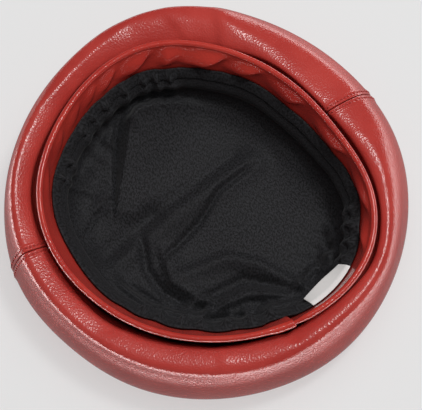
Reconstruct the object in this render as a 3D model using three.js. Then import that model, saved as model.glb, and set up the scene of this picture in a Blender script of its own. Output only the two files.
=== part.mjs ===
// A soft leather beret, lying upside-down on its crown with the head opening upwards.
// Millimetres, +Z up, the origin under the middle of the hat on the surface it lies on.
// Angles are in degrees, anticlockwise from +X seen from above, and the near side faces -Y.
// Every piece is a thin wall: face(s, t) gives one side of it, with s running round the hat
// and t along the section, and the other side lies one thickness behind.

import * as THREE from "three";

const gap = 0.3; // between pieces that meet
const leather = 1.4; // wall of the crown and the side ring
const crown = { flatRadius: 88, seamRadius: 102, seamHeight: 3.5, seamGap: 0.8, dishPower: 1.6 };
const ring = {
  throatDrop: 8, // how far the groove's wall falls nearly straight from its lip
  throatIn: 0.4,
  grooveHeight: 31,
  grooveGap: 0.5,
  bellyOut: 0.74, // how far out from the crown seam towards the edge its lower round lies
  bellyUp: 0.3,
};
const crossSeams = {
  right: { groove: 36, edge: 32.5 },
  left: { groove: 197, edge: 202 },
};
const band = {
  ply: 1.1, // each layer of the folded strip
  thickness: 2.6, // both layers where the lining joins
  rimHeight: 60,
  rimRadius: 2.1, // of the soft fold over the rim
  seamHeight: 44, // where the lining is sewn on
  innerPlyEnd: 38.5,
  baseHeight: 30,
  baseLean: 3, // how much narrower the band is at its base than at the lining seam
};
const lap = {
  start: 297, // degrees, where the tongue ends inside the sleeve
  length: 6,
  ramp: 5, // degrees over which each end changes its width
  spread: 1.45, // how far the sleeve's layers open, each way
  tongueRadius: 1.35,
  sleeveRadius: 2.75,
  foldDrop: 0.95,
};
const hem = { top: 43.6, bottom: 37.2, thickness: 1.3, roundness: 0.35, lean: 1.6 };
const lining = { top: 36.5, thickness: 1, floor: 3.4, floorInset: 18, fadeInside: 4, fadeOutside: 10 };
const label = { start: 314.5, end: 333.5, top: 43.8, bottom: 33, standOff: 8, flare: 1.3, thickness: 0.8 };

// One row for each section of the hat, every 22.5 degrees. R is a distance from the axis and Z a
// height: the outermost edge, the flank and the shoulder above it, the crest of the roll, the lip of
// the groove between the roll and the band, the top of the rim, and the lining seam inside the band.
const sectionColumns = [
  "deg", "edgeR", "edgeZ", "flankR", "flankZ", "shoulderR", "shoulderZ", "crestR", "crestZ",
  "lipR", "lipZ", "rimR", "hemR",
];
const sectionRows = [
  [0, 126, 24, 121.6, 38.5, 117, 46.2, 110, 51, 104.5, 49.2, 99, 94.5],
  [22.5, 126.5, 27, 122, 39.5, 116, 46.8, 102, 52.2, 95, 50.6, 88.5, 84],
  [45, 123.5, 33, 118.5, 41.5, 112.5, 47.5, 95.5, 52.4, 90.6, 50.4, 85.3, 78.8],
  [67.5, 122.5, 38, 119, 43.8, 114.8, 48.3, 102, 53.4, 93.6, 50.3, 87.3, 81],
  [90, 124, 44, 123.3, 47.3, 120.5, 49.8, 111, 52.8, 97, 47.2, 93, 85],
  [112.5, 126, 45, 125.8, 47.5, 124.6, 49.8, 119, 51.6, 104, 46.2, 99.8, 91.3],
  [135, 123.5, 45, 123, 47.3, 121.5, 49.2, 114.7, 52, 105.6, 46.8, 100.2, 93.6],
  [157.5, 122.5, 43, 122, 46, 120.6, 48.6, 116.5, 51.9, 105.6, 47.2, 99.5, 94.2],
  [180, 124, 36, 123.4, 43, 121.6, 47.5, 117.5, 51.7, 106.9, 47, 100.5, 95.4],
  [202.5, 126, 26, 122.6, 39.5, 119.3, 46.4, 115, 51.3, 100.6, 47, 98, 90],
  [225, 122, 20, 118.4, 39.5, 114.8, 46.2, 111.9, 51.1, 97.6, 47.8, 93.5, 87.2],
  [247.5, 121, 18, 117.2, 39, 113.4, 45.6, 109.7, 50.9, 94.4, 48.2, 91, 84.4],
  [270, 120.5, 18, 116.8, 38.8, 113, 45.3, 108.9, 50.5, 93, 48.4, 90.5, 84.4],
  [292.5, 121.5, 18, 117.6, 39, 113.6, 45.5, 109.4, 50.7, 94.8, 48.2, 93.5, 87.4],
  [315, 124, 20, 119.4, 39.6, 115.2, 46.2, 110.9, 50.9, 100.2, 48.6, 99.5, 94.6],
  [337.5, 124.5, 23, 121.2, 39.5, 117.6, 46.2, 113, 51, 107.4, 49, 104, 98.4],
];
// Dents across the side ring. start and end are shares of the way from the crown seam to the groove.
const dentColumns = ["deg", "halfWidth", "depth", "start", "end"];
const dentRows = [
  [100, 7, 0.8, 0.5, 0.85],
  [133, 9, 1, 0.45, 0.95],
  [230, 6, 1, 0.72, 1],
  [276, 7, 1.2, 0.7, 1],
  [302, 6, 1, 0.7, 1],
  [338, 8, 1, 0.65, 0.95],
  [60, 12, 0.8, 0.45, 0.85],
];
// Waves of the lining seam, which is drawn in a little between its high places.
const waveColumns = ["deg", "halfWidth", "depth"];
const waveRows = [
  [20, 5, 1],
  [49, 5, 0.6],
  [89, 5, 1],
  [105, 7, 1.2],
  [133, 6, 0.6],
  [234, 4, 0.7],
  [248, 4, 1],
  [266, 5, 1.2],
  [283, 4, 0.8],
  [350, 6, 1.2],
];
// Folds of the lining where it lies on the crown, each a ridge from one point to another.
const foldColumns = ["x1", "y1", "x2", "y2", "halfWidth", "height"];
const foldRows = [
  [-62, 50, -50, -8, 9, 4],
  [-58, -30, 2, 20, 12, 4],
  [-30, -14, 34, -38, 10, 4],
  [-30, -50, 30, -64, 9, 6],
  [62, 20, 66, -34, 9, 7],
];

// The lining's section below the band: distances out from where it meets the floor, and heights
// over the floor, and then shares of the way from there to the middle.
const liningWallColumns = ["out", "up"];
const liningWallRows = [
  [12, 16.6],
  [8, 6.6],
  [0, 1.5],
];
const liningFloorShares = [0.66, 0.33, 0];

const named = (columns, rows) =>
  rows.map((row) => Object.fromEntries(columns.map((column, i) => [column, row[i]])));
const sections = named(sectionColumns, sectionRows);
const dents = named(dentColumns, dentRows);
const waves = named(waveColumns, waveRows);
const folds = named(foldColumns, foldRows);
const liningWall = named(liningWallColumns, liningWallRows);

const { lerp, smoothstep, clamp, degToRad } = THREE.MathUtils;

// The signed angle from one direction to another, between -180 and 180.
const turn = (deg, from) => THREE.MathUtils.euclideanModulo(deg - from + 180, 360) - 180;
const bell = (x, halfWidth) => Math.exp(-((x / halfWidth) ** 2));

// A column of the sections table at any angle, on a smooth closed curve through its rows.
function around(column, deg) {
  const step = 360 / sections.length;
  const place = THREE.MathUtils.euclideanModulo(deg, 360) / step;
  const first = Math.floor(place);
  const x = place - first;
  const [a, b, c, d] = [-1, 0, 1, 2].map(
    (k) => sections[(first + k + sections.length) % sections.length][column],
  );
  return b + 0.5 * x * (c - a + x * (2 * a - 5 * b + 4 * c - d + x * (3 * (b - c) + d - a)));
}

const at = (deg, radius, height) =>
  new THREE.Vector3(radius, 0, height).applyAxisAngle(new THREE.Vector3(0, 0, 1), degToRad(deg));

// How far the lapped ends of the band push their neighbours aside, from 0 to 1.
function swell(deg) {
  const past = turn(deg, lap.start);
  return smoothstep(past, -lap.ramp, 0) * (1 - smoothstep(past, lap.length, lap.length + lap.ramp));
}

// The inner and outer faces of the plain band.
function bandInner(deg, height) {
  const drawnIn = waves.reduce((sum, w) => sum + w.depth * bell(turn(deg, w.deg), w.halfWidth), 0);
  const seam = around("hemR", deg) - drawnIn;
  if (height < band.seamHeight) {
    const down = (band.seamHeight - height) / (band.seamHeight - band.baseHeight);
    return seam - band.baseLean * down;
  }
  const up = (height - band.seamHeight) / (band.rimHeight - band.rimRadius - band.seamHeight);
  return lerp(seam, around("rimR", deg) - band.rimRadius, up);
}
const bandOuter = (deg, height) => bandInner(deg, height) + band.thickness;

// The outer face of the side ring: out from the crown seam, over the roll and down into the groove.
function ringFace(deg, t) {
  const value = (column) => around(column, deg);
  const edge = [value("edgeR"), value("edgeZ")];
  const start = [crown.seamRadius + crown.seamGap / 2, crown.seamHeight];
  const belly = [lerp(start[0], edge[0], ring.bellyOut), lerp(start[1], edge[1], ring.bellyUp)];
  const lip = [value("lipR"), value("lipZ")];
  const groove = bandOuter(deg, ring.grooveHeight) + ring.grooveGap + lap.spread * swell(deg);
  const curve = new THREE.CatmullRomCurve3(
    [
      start,
      belly,
      edge,
      [value("flankR"), value("flankZ")],
      [value("shoulderR"), value("shoulderZ")],
      [value("crestR"), value("crestZ")],
      lip,
      [lip[0] - ring.throatIn, lip[1] - ring.throatDrop],
      [groove, ring.grooveHeight],
    ].map(([radius, height]) => new THREE.Vector3(radius, 0, height)),
  );
  curve.arcLengthDivisions = 60;
  const point = curve.getPointAt(t);
  const along = curve.getTangentAt(t);
  const depth = dents.reduce((sum, d) => {
    const place = clamp((t - d.start) / (d.end - d.start), 0, 1);
    return sum + d.depth * bell(turn(deg, d.deg), d.halfWidth) * Math.sin(Math.PI * place) ** 2;
  }, 0);
  return at(deg, point.x - along.z * depth, point.z + along.x * depth);
}

// Half of the side ring, from one cross seam round to the other, which both slant a little.
function panelFace(from, to) {
  return (s, t) => {
    const halfGap = THREE.MathUtils.radToDeg(gap / 2 / crown.seamRadius);
    const start = lerp(from.edge, from.groove, t) + halfGap;
    const end = lerp(to.edge, to.groove, t) - halfGap;
    return ringFace(lerp(start, end, s), t);
  };
}

// The underside of the crown, from its seam in to the middle.
function crownFace(s, t) {
  const edge = crown.seamRadius - crown.seamGap / 2;
  const radius = edge * (1 - t);
  const dished = Math.max(0, (radius - crown.flatRadius) / (edge - crown.flatRadius));
  return at(360 * s, radius, crown.seamHeight * dished ** crown.dishPower);
}

// The outside of the folded strip: up its outer side, over the rim and down inside. At one end
// it narrows to a tongue, which the other end covers as a wider sleeve.
const bandDeg = (s) => lap.start + s * (360 + lap.length);
const bandArc = [0, 45, 90, 135, 180];
function bandProfile(s) {
  const deg = bandDeg(s);
  const tongueEnd = lap.start + lap.length;
  const tongue = 1 - smoothstep(deg, tongueEnd, tongueEnd + lap.ramp);
  const sleeve = smoothstep(deg, lap.start + 360 - lap.ramp, lap.start + 360);
  const radius =
    band.rimRadius +
    (lap.tongueRadius - band.rimRadius) * tongue +
    (lap.sleeveRadius - band.rimRadius) * sleeve;
  const foldHeight = band.rimHeight - band.rimRadius - lap.foldDrop * (tongue + sleeve);
  const spread = lap.spread * sleeve;
  const rim = around("rimR", deg);
  const seam = bandInner(deg, band.seamHeight);
  return [
    [bandOuter(deg, band.baseHeight) + spread, band.baseHeight],
    [bandOuter(deg, band.seamHeight) + spread, band.seamHeight],
    ...bandArc.map((turned) => [
      rim + radius * Math.cos(degToRad(turned)),
      foldHeight + radius * Math.sin(degToRad(turned)),
    ]),
    [seam - spread, band.seamHeight],
    [bandInner(deg, band.innerPlyEnd) - spread, band.innerPlyEnd],
  ];
}
const bandKnots = bandArc.length + 3;
function bandFace(s, t) {
  const profile = bandProfile(s);
  const first = Math.min(Math.floor(t * bandKnots), bandKnots - 1);
  const x = t * bandKnots - first;
  const [radius, height] = [0, 1].map((k) => lerp(profile[first][k], profile[first + 1][k], x));
  return at(bandDeg(s), radius, height);
}

// The lining's surface where it hangs or lies inside, at a distance from the band's inner face.
const insideBand = (deg, height, inset) => bandInner(deg, height) - lap.spread * swell(deg) - inset;

// The hem follows the band inside, a little rounded, with its steps where the band has them.
function hemFace(s, t) {
  const deg = lap.start + lap.length + 360 * s;
  const height = lerp(hem.top, hem.bottom, t);
  const inset = gap + hem.thickness + hem.roundness * Math.sin(Math.PI * t) + hem.lean * t;
  return at(deg, insideBand(deg, height, inset), height);
}

// The inside of the lining: down from the hem, round on to the crown and in to the middle.
function liningFace(s, t) {
  const deg = 360 * s;
  const wallInset = gap + lining.thickness;
  const top = insideBand(deg, lining.top, wallInset);
  const foot = around("hemR", deg) - lining.floorInset;
  const curve = new THREE.CatmullRomCurve3(
    [
      [top, lining.top],
      [insideBand(deg, band.baseHeight, wallInset + gap), band.baseHeight],
      ...liningWall.map(({ out, up }) => [foot + out, lining.floor + up]),
      ...liningFloorShares.map((share) => [foot * share, lining.floor]),
    ].map(([radius, height]) => new THREE.Vector3(radius, 0, height)),
  );
  const flat = curve.getPoint(t);
  const point = at(deg, flat.x, flat.z);
  const lying = 1 - smoothstep(flat.x, foot - lining.fadeInside, foot + lining.fadeOutside);
  for (const fold of folds) {
    const from = new THREE.Vector2(fold.x1, fold.y1);
    const line = new THREE.Vector2(fold.x2, fold.y2).sub(from);
    const away = new THREE.Vector2(point.x, point.y).sub(from);
    const along = away.dot(line) / line.lengthSq();
    const off = away.sub(line.multiplyScalar(clamp(along, 0, 1))).length();
    point.z += lying * fold.height * bell(off, fold.halfWidth);
  }
  return point;
}

// The label hangs from the lining seam and stands off the hem at its free edge.
function labelFace(s, t) {
  const deg = lerp(label.start, label.end, s);
  const inset = 2 * gap + hem.thickness + hem.roundness + label.thickness + label.standOff * t ** label.flare;
  return at(deg, insideBand(deg, label.top, inset), lerp(label.top, label.bottom, t));
}

const even = (count, end = 1) => Array.from({ length: count + 1 }, (_, i) => (end * i) / count);

// A closed wall with one side on the face and the other one thickness behind it. round means that
// its ends meet, and centre means that the section ends at the middle of the hat.
function wall(face, thickness, sList, tList, { round = false, centre = false } = {}) {
  const step = 1e-3;
  const wrap = (s) => (round ? s : clamp(s, 0, 1));
  const behind = (s, t) => {
    const sWays = face(wrap(s + step), t).sub(face(wrap(s - step), t));
    const tWays = face(s, clamp(t + step, 0, 1)).sub(face(s, clamp(t - step, 0, 1)));
    const normal = centre && t === 1 ? new THREE.Vector3(0, 0, 1) : sWays.cross(tWays).normalize();
    return face(s, t).addScaledVector(normal, -thickness);
  };
  const columns = round ? sList.slice(0, -1) : sList;
  const points = [];
  const corners = (make) =>
    columns.map((s, i) =>
      tList.map((t, j) => {
        const isCentre = centre && j === tList.length - 1;
        return isCentre && i > 0 ? null : points.push(make(s, t)) - 1;
      }),
    );
  const shared = (grid) => grid.map((column) => column.map((corner, j) => corner ?? grid[0][j]));
  const front = shared(corners(face));
  const back = shared(corners(behind));
  const faces = [];
  const quad = (a, b, c, d) => {
    if (a !== b) faces.push([a, b, c]);
    if (c !== d) faces.push([a, c, d]);
  };
  const last = tList.length - 1;
  for (let i = 0; i < sList.length - 1; i += 1) {
    const next = (i + 1) % columns.length;
    for (let j = 0; j < last; j += 1) {
      quad(front[i][j], front[next][j], front[next][j + 1], front[i][j + 1]);
      quad(back[i][j + 1], back[next][j + 1], back[next][j], back[i][j]);
    }
    quad(back[i][0], back[next][0], front[next][0], front[i][0]);
    if (!centre) quad(front[i][last], front[next][last], back[next][last], back[i][last]);
  }
  if (!round) {
    const end = columns.length - 1;
    for (let j = 0; j < last; j += 1) {
      quad(front[0][j], front[0][j + 1], back[0][j + 1], back[0][j]);
      quad(back[end][j], back[end][j + 1], front[end][j + 1], front[end][j]);
    }
  }
  const geometry = new THREE.BufferGeometry().setFromPoints(points);
  geometry.setIndex((thickness > 0 ? faces : faces.map((f) => [f[0], f[2], f[1]])).flat());
  geometry.computeVertexNormals();
  return geometry;
}

const redLeather = { color: 0xa82e2a, roughness: 0.3, metalness: 0 };
const blackTwill = { color: 0x232326, roughness: 0.85, metalness: 0 };
const whiteSatin = { color: 0xf0efec, roughness: 0.5, metalness: 0 };

const panelSteps = even(36);
const panelShares = [0, 0.12, 0.22, 0.3, 0.38, 0.47, 0.55, 0.63, 0.7, 0.76, 0.82, 0.9, 1];
// The band and the hem in it share their stations, from the lap's end right round to it again.
const roundTurns = [...even(58, 345), 350, 354, 357, 360];
const hemSteps = roundTurns.map((turned) => turned / 360);
const bandSteps = [-lap.length, -lap.length / 2, ...roundTurns].map(
  (turned) => (turned + lap.length) / (360 + lap.length),
);
const bandShares = even(bandKnots);

const pieces = [
  ["crown_top", redLeather, wall(crownFace, -leather, even(72), [0, 0.07, 0.134, 1],
    { round: true, centre: true })],
  ["side_panel_far", redLeather, wall(panelFace(crossSeams.right, crossSeams.left), leather,
    panelSteps, panelShares)],
  ["side_panel_near", redLeather, wall(panelFace(crossSeams.left,
    { groove: crossSeams.right.groove + 360, edge: crossSeams.right.edge + 360 }), leather,
    panelSteps, panelShares)],
  ["headband", redLeather, wall(bandFace, band.ply, bandSteps, bandShares)],
  ["lining_hem", blackTwill, wall(hemFace, hem.thickness, hemSteps, [0, 0.5, 1], { round: true })],
  ["lining", blackTwill, wall(liningFace, lining.thickness, even(54), even(9),
    { round: true, centre: true })],
  ["care_label", whiteSatin, wall(labelFace, label.thickness, even(8), even(3))],
];

const beret = new THREE.Group();
for (const [name, look, geometry] of pieces) {
  const mesh = new THREE.Mesh(geometry, new THREE.MeshStandardMaterial(look));
  mesh.name = name;
  beret.add(mesh);
}

// The origin goes under the middle of the hat, which the sections give only nearly.
const middle = new THREE.Box3().setFromObject(beret).getCenter(new THREE.Vector3());
beret.position.set(-middle.x, -middle.y, 0);

export default beret;
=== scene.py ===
import math
import bpy
import numpy as np
from mathutils import Matrix, Vector


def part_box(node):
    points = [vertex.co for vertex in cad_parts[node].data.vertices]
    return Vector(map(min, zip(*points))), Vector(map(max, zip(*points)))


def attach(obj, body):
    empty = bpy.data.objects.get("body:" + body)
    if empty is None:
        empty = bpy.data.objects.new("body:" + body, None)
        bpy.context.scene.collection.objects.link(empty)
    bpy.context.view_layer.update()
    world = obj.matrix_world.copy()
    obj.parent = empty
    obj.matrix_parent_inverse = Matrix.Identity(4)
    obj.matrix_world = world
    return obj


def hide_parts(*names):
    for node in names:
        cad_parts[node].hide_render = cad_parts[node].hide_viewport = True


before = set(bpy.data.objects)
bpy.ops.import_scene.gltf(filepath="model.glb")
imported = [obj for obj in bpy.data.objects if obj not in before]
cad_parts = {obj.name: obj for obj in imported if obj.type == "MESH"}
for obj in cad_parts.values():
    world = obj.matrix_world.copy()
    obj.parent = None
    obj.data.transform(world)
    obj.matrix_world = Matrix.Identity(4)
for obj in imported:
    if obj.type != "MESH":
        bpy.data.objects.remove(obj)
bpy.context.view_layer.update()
print("frame loaded, nodes", sorted(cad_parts))

# Shapes are worked out in millimetres from the hat's own axis, and become metres when a mesh is filled
# Angles are degrees, anticlockwise from +X seen from above; the near side faces -Y
crownLow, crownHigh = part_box("crown_top")
hat = {
    "axis": [(crownLow[k] + crownHigh[k]) / 2 * 1000 for k in (0, 1)],  # the middle of the round crown
    "leatherWall": 1.3,
    "clothWall": 0.9,
    "gap": 0.3,  # between neighbours
    "weld": 0.001,  # corners nearer than this become one
    "sharpEdge": 60,  # degrees from which an edge stays sharp
}

# Camera

cameraView = {
    "target": (0.0020, -0.0029, 0.0297),
    "elevation": 75,
    "distance": 1.0,
    "lens": 137.6,
    "sensor": 36,
    "clip": (0.01, 20),
}


def makeCamera():
    up = math.radians(cameraView["elevation"])
    back = Vector((0, -math.cos(up), math.sin(up)))
    data = bpy.data.cameras.new("camera")
    data.lens = cameraView["lens"]
    data.sensor_width = cameraView["sensor"]
    data.clip_start, data.clip_end = cameraView["clip"]
    camera = bpy.data.objects.new("camera", data)
    bpy.context.scene.collection.objects.link(camera)
    camera.location = Vector(cameraView["target"]) + back * cameraView["distance"]
    camera.rotation_euler = back.to_track_quat("Z", "Y").to_euler()
    bpy.context.scene.camera = camera


makeCamera()
bpy.context.scene.view_settings.view_transform = "Standard"
print("camera set")

# Small helpers


def toLinear(hexColour):
    parts = [int(hexColour[i:i + 2], 16) / 255 for i in (1, 3, 5)]
    return [p / 12.92 if p <= 0.04045 else ((p + 0.055) / 1.055) ** 2.4 for p in parts] + [1]


def addNode(tree, kind, settings=None, values=None, links=None):
    # one node with its settings, its sockets' values, and links from (node, output) to its inputs
    node = tree.nodes.new(kind)
    for key, value in (settings or {}).items():
        setattr(node, key, value)
    for key, value in (values or {}).items():
        node.inputs[key].default_value = value
    for key, (source, output) in (links or {}).items():
        tree.links.new(source.outputs[output], node.inputs[key])
    return node


def newMaterial(name, values):
    material = bpy.data.materials.new(name)
    material.use_nodes = True
    shader = material.node_tree.nodes["Principled BSDF"]
    for key, value in values.items():
        shader.inputs[key].default_value = value
    return material, material.node_tree, shader


def deselectAll():
    if bpy.context.object and bpy.context.object.mode != "OBJECT":
        bpy.ops.object.mode_set(mode="OBJECT")
    bpy.ops.object.select_all(action="DESELECT")


def applyPlace():
    bpy.ops.object.transform_apply(location=True, rotation=True, scale=True)


def takePrimitive(name):
    # the newest primitive gets its name, and its place goes into its mesh
    piece = bpy.context.object
    piece.name = piece.data.name = name
    applyPlace()
    return piece


def smoothStep(x, low, high):
    x = np.clip((np.asarray(x, float) - low) / (high - low), 0, 1)
    return x * x * (3 - 2 * x)


def turnFrom(deg, centre):
    return np.mod(np.asarray(deg, float) - centre + 180, 360) - 180


def bell(x, halfWidth):
    return np.exp(-((x / halfWidth) ** 2))


def named(columns, rows):
    return [dict(zip(columns, row)) for row in rows]


# The hat's sections: one row every 22.5 degrees. R is a distance from the axis and Z a height
sectionColumns = [
    "deg", "edgeR", "edgeZ", "flankR", "flankZ", "shoulderR", "shoulderZ", "crestZ", "lipR", "lipZ",
    "rimR", "hemR",
]
sectionRows = np.array([
    [0, 126, 24, 121.6, 38.5, 117, 46.2, 51, 104.5, 49.2, 99, 94.5],
    [22.5, 126.5, 27, 122, 39.5, 116, 46.8, 52.2, 95, 50.6, 88.5, 84],
    [45, 123.5, 33, 118.5, 41.5, 112.5, 47.5, 51.7, 90.6, 52.1, 85.3, 78.8],
    [67.5, 122.5, 38, 119, 43.8, 114.8, 48.3, 53.2, 93.6, 51.4, 87.3, 81],
    [90, 124, 44, 123.6, 47.3, 121.3, 49.8, 52.8, 97, 47.2, 93, 85],
    [112.5, 126, 45, 125.8, 47.5, 124.6, 49.8, 51.6, 104, 46.2, 99.8, 91.3],
    [135, 123.5, 45, 123, 47.3, 121.5, 49.2, 52, 105.6, 46.8, 100.2, 93.6],
    [157.5, 122.5, 43, 122, 46, 120.6, 48.6, 51.9, 105.6, 47.2, 99.5, 94.2],
    [180, 124, 36, 123.4, 43, 121.6, 47.5, 51.7, 106.9, 47, 100.5, 95.4],
    [202.5, 126, 26, 122.6, 39.5, 119.3, 46.4, 51.3, 100.6, 47, 98, 90],
    [225, 122, 20, 118.4, 39.5, 114.8, 46.2, 51.1, 97.6, 47.8, 93.5, 87.2],
    [247.5, 121, 18, 117.2, 39, 113.4, 45.6, 50.9, 94.4, 48.2, 91, 84.4],
    [270, 120.5, 18, 116.8, 38.8, 113, 45.3, 50.5, 93, 48.4, 90.5, 84.4],
    [292.5, 121.5, 18, 118, 39, 114.5, 45.5, 50.7, 94.8, 48.2, 93.5, 87.4],
    [315, 124, 20, 119.4, 39.6, 115.2, 46.2, 50.9, 100.2, 48.6, 99.5, 94.6],
    [337.5, 124.5, 23, 121.8, 39.5, 119, 46.2, 51, 107.4, 49, 104, 98.4],
])


def around(column, deg):
    # a closed cubic curve through every row, smooth at the rows too
    rows = sectionRows[:, sectionColumns.index(column)]
    n = len(rows)
    knots = np.fft.ifft(np.fft.fft(rows) / ((2 + np.cos(2 * np.pi * np.arange(n) / n)) / 3)).real
    place = np.mod(deg, 360) / 360 * n
    row = np.floor(place).astype(int)
    x = place - row
    a, b, c, d = (knots[(row + k) % n] for k in (-1, 0, 1, 2))
    before, after = (1 - x) ** 3 * a, x**3 * d
    return (before + (3 * x**3 - 6 * x**2 + 4) * b + (1 + 3 * x + 3 * x**2 - 3 * x**3) * c + after) / 6


# The crest sways in and out where folds are drawn into the roll: its angle and its distance from the axis
crestSway = np.array([
    [0, 110], [5, 109.5], [10, 108.8], [15, 107.6], [20, 104.6], [25, 100], [32, 98.2], [45, 98.5],
    [60, 100.4], [67, 102.4], [75, 105.6], [80, 108.3], [83.5, 111.8], [85.5, 113], [87.5, 111],
    [90, 109.8], [96, 113.6], [101, 116.2], [103.5, 116.2], [108, 118], [112.5, 121], [114.5, 122],
    [117, 119.6], [120, 117.6], [125, 116.4], [132, 114.8], [140, 114.6], [147, 116], [151.5, 118],
    [156, 116.6], [165, 117.8], [172, 118.4], [182, 117.6], [195, 116.6], [205, 115], [215, 113.4],
    [225, 111.9], [240, 110.2], [255, 109.3], [270, 108.9], [285, 109.1], [300, 109.8], [315, 110.9],
    [330, 113], [345, 113.2],
])
crestEasing = {"step": 0.5, "steps": 3, "width": 2}  # its way is averaged over steps of so many degrees


def crestRadius(deg):
    spread = np.arange(-crestEasing["steps"], crestEasing["steps"] + 1)
    weight = bell(spread, crestEasing["width"])
    near = [np.interp(np.mod(deg + k * crestEasing["step"], 360), *crestSway.T, period=360) for k in spread]
    return sum(w * r for w, r in zip(weight / weight.sum(), near))


def polar(deg, radius, height):
    angle = np.radians(deg)
    return np.stack(np.broadcast_arrays(radius * np.cos(angle), radius * np.sin(angle), height), -1)


def clothGrid(name, steps, face, flat=None, closed=False):
    # a grid of the right number of cells, each corner then moved to its place on the surface. steps holds how
    # many there are each way, or the shares at which they lie
    sList, tList = (np.linspace(0, 1, way + 1) if isinstance(way, int) else way for way in steps)
    deselectAll()
    bpy.ops.mesh.primitive_grid_add(
        x_subdivisions=len(sList) - 1, y_subdivisions=len(tList) - 1, size=1, location=(0.5, 0.5, 0))
    piece = takePrimitive(name)
    mesh = piece.data
    corners = np.empty(len(mesh.vertices) * 3)
    mesh.vertices.foreach_get("co", corners)
    corners = corners.reshape(-1, 3)
    s = sList[np.rint(corners[:, 0] * (len(sList) - 1)).astype(int)]
    t = tList[np.rint(corners[:, 1] * (len(tList) - 1)).astype(int)]
    placed = (face(s, t) + [*hat["axis"], 0]) / 1000
    mesh.vertices.foreach_set("co", placed.ravel())
    # where each corner was on the flat cut piece, in metres
    cut = np.stack([s, t], -1) if flat is None else flat(s, t) / 1000
    loopCorner = np.empty(len(mesh.loops), int)
    mesh.loops.foreach_get("vertex_index", loopCorner)
    mesh.uv_layers[0].name = "cut"
    mesh.uv_layers["cut"].data.foreach_set("uv", cut[loopCorner].ravel())
    if closed:
        bpy.ops.object.mode_set(mode="EDIT")
        bpy.ops.mesh.select_all(action="SELECT")
        bpy.ops.mesh.remove_doubles(threshold=hat["weld"] / 1000)
        bpy.ops.object.mode_set(mode="OBJECT")
    mesh.update()
    return piece


def finishCloth(piece, thickness, levels, material, slot, *nodes):
    # a wall behind the surface, rounded by subdivision, then applied
    deselectAll()
    piece.select_set(True)
    bpy.context.view_layer.objects.active = piece
    wall = piece.modifiers.new("wall", "SOLIDIFY")
    wall.thickness = thickness / 1000
    wall.offset = -1
    wall.use_even_offset = False
    bpy.ops.object.modifier_apply(modifier="wall")
    if levels:
        smooth = piece.modifiers.new("smooth", "SUBSURF")
        smooth.levels = smooth.render_levels = levels
        bpy.ops.object.modifier_apply(modifier="smooth")
    bpy.ops.object.shade_smooth_by_angle(angle=math.radians(hat["sharpEdge"]))
    piece.data.materials.clear()
    piece.data.materials.append(material)
    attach(piece, "root")
    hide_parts(*nodes)
    print("made", piece.name, "with", len(piece.data.polygons), "faces")


# Floor and light

studio = {
    "floorColour": "#909090",
    "floorGlow": 0.52,  # the paper is lit from below too, so the shadow round the hat stays faint
    "floorRoughness": 0.9,
    "floorSize": 8,
    "floorDrop": 0.0002,  # below the hat
    "keyPower": 15,  # a round soft box high on the right, which draws the bright line along the crests
    "keySize": 0.42,
    "keyPlace": (0.60, 0.47, 2.05),
    "room": 0.26,  # soft light from all round, too even to show in the gloss
    "ceilingPower": 11,  # a wide soft box overhead, leaning to the right and the back
    "ceilingSize": 1.6,
    "ceilingPlace": (0.2, 0.42, 1.55),
    # what the gloss mirrors low down: dim paper beside the hat, and a sweep that brightens as it rises
    "sweepRadius": 0.32,
    "sweepHeight": 0.09,
    "sweepSides": 96,
    "sweepRise": (0.012, 0.037),  # heights between which it brightens
    "sweepFade": (0.038, 0.088),  # and those between which it fades again
    "sweepOpening": (79, 158),  # degrees left open behind the hat
    "sweepTop": 8,
    "sweepLean": ((-0.7, -0.71, 0), 0.75, 2.1),  # its brightest side, and its share opposite that and there
    "paperDrop": 0.0001,
    "paperInner": 0.17,  # how far out the paper beside the hat begins to brighten
    "paperNear": 0.35,
    "paperFar": 1.7,
}


def addGlow(piece, measure, start, end, low, high, shape="LINEAR", fade=None, lean=None):
    # lit paper that only the gloss of the leather sees: low at the measured length start, high at end
    glowing, tree, shader = newMaterial(piece.name + "Light", {
        "Base Color": toLinear("#000000"), "Emission Color": toLinear("#ffffff")})
    place = addNode(tree, "ShaderNodeTexCoord")
    masked = addNode(tree, "ShaderNodeVectorMath", {"operation": "MULTIPLY"}, {1: measure},
                     {0: (place, "Object")})
    length = addNode(tree, "ShaderNodeVectorMath", {"operation": "LENGTH"}, links={0: (masked, "Vector")})
    ranges = [(length, shape, (start, end, low, high))]
    if fade:
        ranges.append((length, shape, (*fade, 1, 0)))
    if lean:
        toward, least, most = lean
        side = addNode(tree, "ShaderNodeVectorMath", {"operation": "DOT_PRODUCT"}, {1: toward},
                       {0: (place, "Object")})
        ranges.append((side, "LINEAR", (-studio["sweepRadius"], studio["sweepRadius"], least, most)))
    strength = None
    for source, kind, limits in ranges:
        share = addNode(tree, "ShaderNodeMapRange", {"interpolation_type": kind},
                        dict(zip(("From Min", "From Max", "To Min", "To Max"), limits)),
                        {"Value": (source, "Value")})
        if strength is not None:
            share = addNode(tree, "ShaderNodeMath", {"operation": "MULTIPLY"},
                            links={0: (strength, 0), 1: (share, 0)})
        strength = share
    tree.links.new(strength.outputs[0], shader.inputs["Emission Strength"])
    piece.data.materials.append(glowing)
    piece.visible_camera = piece.visible_diffuse = piece.visible_shadow = False


def makeFloor():
    deselectAll()
    bpy.ops.mesh.primitive_plane_add(size=studio["floorSize"], location=(0, 0, -studio["floorDrop"]))
    floor = takePrimitive("floor")
    floor.data.materials.append(newMaterial("seamlessPaper", {
        "Base Color": toLinear(studio["floorColour"]), "Roughness": studio["floorRoughness"],
        "Specular IOR Level": 0.0, "Emission Color": toLinear("#ffffff"),
        "Emission Strength": studio["floorGlow"]})[0])
    floor.visible_glossy = False
    return floor


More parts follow.
